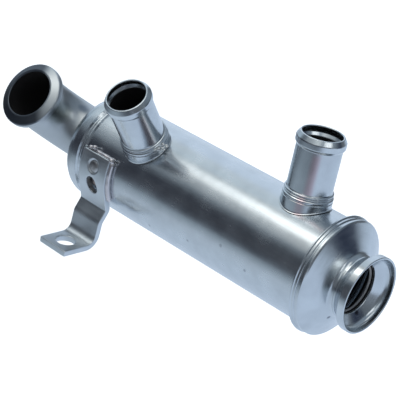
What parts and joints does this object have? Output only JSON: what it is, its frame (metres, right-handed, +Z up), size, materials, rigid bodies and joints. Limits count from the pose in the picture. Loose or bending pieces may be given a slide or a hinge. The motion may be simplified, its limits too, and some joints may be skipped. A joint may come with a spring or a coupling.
{
  "type": "egr cooler",
  "caption": "Exhaust gas recirculation cooler: stainless shell with an inner tube bundle, gas elbow, bell with clamp flange, two beaded coolant nipples and a folded mounting bracket.",
  "frame": {"origin": "on the underside of the bracket's foot, on the strip's centre line, midway between the bolt hole and the foot's tip", "axes": "+X along the shell from the gas inlet to the gas outlet, +Z up out of the foot, with the outlet nipple upright"},
  "size_m": [0.2161, 0.0751, 0.0962],
  "materials": {
    "shell_stainless": "drawn tube, satin, faintly brushed round the body",
    "satin_stainless": "pressed and turned pieces, satin with a cool tint",
    "bracket_stainless": "folded plate, satin with darker folds",
    "tube_stainless": "plain drawn tube and pressed plate inside the shell"
  },
  "bodies": {
    "root": {"shell_tube": "shell_stainless", "inlet_cap": "satin_stainless", "outlet_cap": "satin_stainless", "clamp_flange": "satin_stainless", "inlet_elbow": "satin_stainless", "coolant_inlet_nipple": "satin_stainless", "coolant_inlet_collar": "satin_stainless", "coolant_outlet_nipple": "satin_stainless", "coolant_outlet_collar": "satin_stainless", "mounting_bracket": "bracket_stainless", "gas_tube_01": "tube_stainless", "gas_tube_02": "tube_stainless", "gas_tube_03": "tube_stainless", "gas_tube_04": "tube_stainless", "gas_tube_05": "tube_stainless", "gas_tube_06": "tube_stainless", "gas_tube_07": "tube_stainless", "gas_tube_08": "tube_stainless", "gas_tube_09": "tube_stainless", "gas_tube_10": "tube_stainless", "gas_tube_11": "tube_stainless", "gas_tube_12": "tube_stainless", "gas_tube_13": "tube_stainless", "gas_tube_14": "tube_stainless", "gas_tube_15": "tube_stainless", "gas_tube_16": "tube_stainless", "gas_tube_17": "tube_stainless", "gas_tube_18": "tube_stainless", "gas_tube_19": "tube_stainless", "inlet_tube_plate": "tube_stainless", "outlet_tube_plate": "tube_stainless", "baffle_1": "tube_stainless", "baffle_2": "tube_stainless"}
  },
  "joints": []
}
